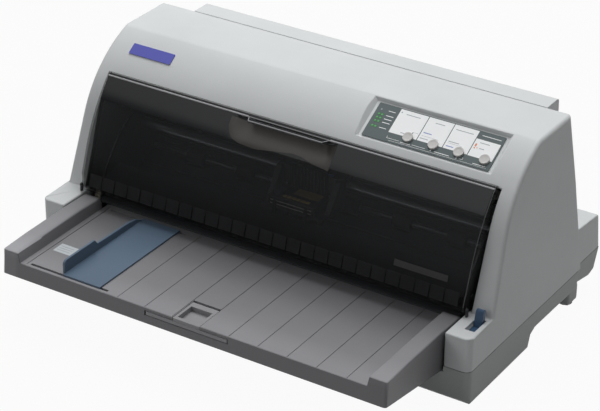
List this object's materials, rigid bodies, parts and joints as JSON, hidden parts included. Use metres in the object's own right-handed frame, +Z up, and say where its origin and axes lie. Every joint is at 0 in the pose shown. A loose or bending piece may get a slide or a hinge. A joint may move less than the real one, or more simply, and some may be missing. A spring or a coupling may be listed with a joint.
{
  "type": "dot matrix printer",
  "caption": "Flatbed impact printer with a dark paper table, smoked hinged front cover, brow control panel, sliding edge guide and rear tractor feed.",
  "frame": {"origin": "centre of the base on the desk, in the middle of the overall width and depth", "axes": "+X to the right seen from the front, +Y to the back, +Z up"},
  "size_m": [0.48, 0.37, 0.21],
  "materials": {
    "badge_plastic": "gloss",
    "base_plastic": "fine matt grain",
    "black_plastic": "matt",
    "board_green": "solder mask",
    "brass": "turned",
    "button_plastic": "satin",
    "case_plastic": "fine matt grain",
    "foot_rubber": "matt",
    "gear_plastic": "satin",
    "grey_label": "printed film",
    "guide_plastic": "satin",
    "head_alloy": "dark cast alloy",
    "knob_plastic": "satin",
    "led_green": "gloss",
    "lever_plastic": "satin",
    "motor_steel": "black",
    "panel_film": "printed film",
    "roller_rubber": "matt",
    "shaft_steel": "ground",
    "sheet_steel": "zinc plated",
    "smoked_plastic": "clear smoked, gloss",
    "strip_grey": "satin",
    "table_plastic": "fine matt grain"
  },
  "bodies": {
    "case": {"lower_case": "base_plastic", "upper_case": "case_plastic", "cover_hinge_pins": "black_plastic", "badge_plate": "badge_plastic", "paper_table": "table_plastic", "table_label": "grey_label", "panel_overlay": "panel_film", "indicator_leds": "led_green", "panel_board": "board_green", "lever_pin": "shaft_steel", "power_switch": "black_plastic", "side_frame_left": "sheet_steel", "side_frame_right": "sheet_steel", "carriage_shaft": "shaft_steel", "carriage_rail": "sheet_steel", "carriage_motor": "motor_steel", "drive_belt": "roller_rubber", "platen_bar": "black_plastic", "front_paper_guide": "black_plastic", "lower_paper_guide": "black_plastic", "rear_paper_guide": "black_plastic", "feed_motor": "motor_steel", "tractor_frame": "black_plastic", "main_board": "board_green", "power_supply": "sheet_steel", "ac_inlet": "black_plastic", "parallel_connector": "sheet_steel", "usb_connector": "sheet_steel", "case_screws": "shaft_steel", "rubber_feet": "foot_rubber"},
    "front_cover": {"front_cover": "smoked_plastic", "cover_guide_strip": "black_plastic", "cover_blank_strip": "strip_grey"},
    "rear_cover": {"rear_cover": "case_plastic"},
    "edge_guide": {"edge_guide": "guide_plastic"},
    "pull_out_support": {"pull_out_support": "table_plastic"},
    "button_1": {"panel_button_1": "button_plastic"},
    "button_2": {"panel_button_2": "button_plastic"},
    "button_3": {"panel_button_3": "button_plastic"},
    "button_4": {"panel_button_4": "button_plastic"},
    "release_lever": {"release_lever": "lever_plastic"},
    "power_rocker": {"power_rocker": "black_plastic"},
    "carriage": {"carriage": "black_plastic", "print_head": "head_alloy", "ribbon_cartridge": "black_plastic"},
    "ribbon_knob": {"ribbon_knob": "knob_plastic"},
    "motor_pulley": {"motor_pulley": "gear_plastic"},
    "idler_pulley": {"idler_pulley": "gear_plastic"},
    "front_feed": {"front_feed_roller": "roller_rubber"},
    "rear_feed": {"rear_feed_roller": "roller_rubber"},
    "front_pinch": {"front_pinch_roller": "roller_rubber"},
    "rear_pinch": {"rear_pinch_roller": "roller_rubber"},
    "feed_pinion": {"feed_pinion": "brass"},
    "feed_idler": {"feed_idler_gear": "gear_plastic"},
    "tractor_idler": {"tractor_idler_gear": "gear_plastic"},
    "tractor_shaft": {"tractor_shaft": "shaft_steel"},
    "tractor_left": {"tractor_left": "black_plastic"},
    "tractor_right": {"tractor_right": "black_plastic"},
    "tractor_lid_left": {"tractor_lid_left": "black_plastic"},
    "tractor_lid_right": {"tractor_lid_right": "black_plastic"}
  },
  "joints": [
    {"name": "front_cover_hinge", "type": "hinge", "parent": "case", "child": "front_cover", "pos_m": [0, -0.0528, 0.077], "axis": [1, 0, 0], "range_deg": [0, 95]},
    {"name": "rear_cover_hinge", "type": "hinge", "parent": "case", "child": "rear_cover", "pos_m": [0.007, 0.133, 0.1155], "axis": [-1, 0, 0], "range_deg": [0, 45]},
    {"name": "edge_guide_slide", "type": "slide", "parent": "case", "child": "edge_guide", "axis": [1, 0, 0], "range_m": [-0.036, 0.007]},
    {"name": "pull_out_slide", "type": "slide", "parent": "case", "child": "pull_out_support", "axis": [0, -1, 0], "range_m": [0, 0.055]},
    {"name": "release_lever_pivot", "type": "hinge", "parent": "case", "child": "release_lever", "pos_m": [0.2305, -0.061, 0.038], "axis": [1, 0, 0], "range_deg": [0, 26]},
    {"name": "power_rocker_pivot", "type": "hinge", "parent": "case", "child": "power_rocker", "pos_m": [-0.2364, -0.056, 0.0525], "axis": [0, 0, 1], "range_deg": [0, 7]},
    {"name": "button_1_press", "type": "slide", "parent": "case", "child": "button_1", "axis": [0, 0.5519, -0.8339], "range_m": [0, 0.0008], "stiffness_N_per_m": 800},
    {"name": "button_2_press", "type": "slide", "parent": "case", "child": "button_2", "axis": [0, 0.5519, -0.8339], "range_m": [0, 0.0008], "stiffness_N_per_m": 800},
    {"name": "button_3_press", "type": "slide", "parent": "case", "child": "button_3", "axis": [0, 0.5519, -0.8339], "range_m": [0, 0.0008], "stiffness_N_per_m": 800},
    {"name": "button_4_press", "type": "slide", "parent": "case", "child": "button_4", "axis": [0, 0.5519, -0.8339], "range_m": [0, 0.0008], "stiffness_N_per_m": 800},
    {"name": "carriage_slide", "type": "slide", "parent": "case", "child": "carriage", "axis": [1, 0, 0], "range_m": [-0.127, 0.123]},
    {"name": "motor_pulley_spin", "type": "hinge", "parent": "case", "child": "motor_pulley", "pos_m": [-0.178, 0.063, 0.1244], "axis": [0, 0, 1], "continuous": true},
    {"name": "idler_pulley_spin", "type": "hinge", "parent": "case", "child": "idler_pulley", "pos_m": [0.178, 0.063, 0.1244], "axis": [0, 0, 1], "continuous": true},
    {"name": "ribbon_knob_turn", "type": "hinge", "parent": "carriage", "child": "ribbon_knob", "pos_m": [-0.015, -0.003, 0.105], "axis": [0, 0, 1], "continuous": true},
    {"name": "rear_feed_spin", "type": "hinge", "parent": "case", "child": "rear_feed", "pos_m": [0, 0.053, 0.06239], "axis": [1, 0, 0], "continuous": true},
    {"name": "front_feed_spin", "type": "hinge", "parent": "case", "child": "front_feed", "pos_m": [0, -0.021, 0.05396], "axis": [1, 0, 0], "continuous": true},
    {"name": "front_pinch_spin", "type": "hinge", "parent": "case", "child": "front_pinch", "pos_m": [0, -0.021, 0.07126], "axis": [1, 0, 0], "continuous": true},
    {"name": "rear_pinch_spin", "type": "hinge", "parent": "case", "child": "rear_pinch", "pos_m": [0, 0.053, 0.07969], "axis": [1, 0, 0], "continuous": true},
    {"name": "feed_pinion_spin", "type": "hinge", "parent": "case", "child": "feed_pinion", "pos_m": [-0.211, 0.01171, 0.03036], "axis": [1, 0, 0], "continuous": true},
    {"name": "feed_idler_spin", "type": "hinge", "parent": "case", "child": "feed_idler", "pos_m": [-0.211, 0.01624, 0.05606], "axis": [1, 0, 0], "continuous": true},
    {"name": "tractor_idler_spin", "type": "hinge", "parent": "case", "child": "tractor_idler", "pos_m": [-0.211, 0.09594, 0.07407], "axis": [1, 0, 0], "continuous": true},
    {"name": "tractor_shaft_spin", "type": "hinge", "parent": "case", "child": "tractor_shaft", "pos_m": [0, 0.137, 0.0865], "axis": [1, 0, 0], "continuous": true},
    {"name": "tractor_left_slide", "type": "slide", "parent": "case", "child": "tractor_left", "axis": [1, 0, 0], "range_m": [-0.05, 0.05]},
    {"name": "tractor_right_slide", "type": "slide", "parent": "case", "child": "tractor_right", "axis": [1, 0, 0], "range_m": [-0.05, 0.05]},
    {"name": "tractor_lid_left_hinge", "type": "hinge", "parent": "tractor_left", "child": "tractor_lid_left", "pos_m": [-0.1235, 0.157, 0.0954], "axis": [0, -1, 0], "range_deg": [0, 95]},
    {"name": "tractor_lid_right_hinge", "type": "hinge", "parent": "tractor_right", "child": "tractor_lid_right", "pos_m": [0.1195, 0.157, 0.0954], "axis": [0, 1, 0], "range_deg": [0, 95]}
  ],
  "couplings": [
    {"joint": "motor_pulley_spin", "follows": "carriage_slide", "rad_per_m": 142.86},
    {"joint": "idler_pulley_spin", "follows": "carriage_slide", "rad_per_m": 142.86},
    {"joint": "front_feed_spin", "follows": "rear_feed_spin", "ratio": 1},
    {"joint": "feed_idler_spin", "follows": "rear_feed_spin", "ratio": -0.75472},
    {"joint": "feed_pinion_spin", "follows": "rear_feed_spin", "ratio": 3.3333},
    {"joint": "tractor_idler_spin", "follows": "rear_feed_spin", "ratio": -0.56338},
    {"joint": "tractor_shaft_spin", "follows": "rear_feed_spin", "ratio": 1.1111},
    {"joint": "front_pinch_spin", "follows": "rear_feed_spin", "ratio": -1.125},
    {"joint": "rear_pinch_spin", "follows": "rear_feed_spin", "ratio": -1.125}
  ]
}
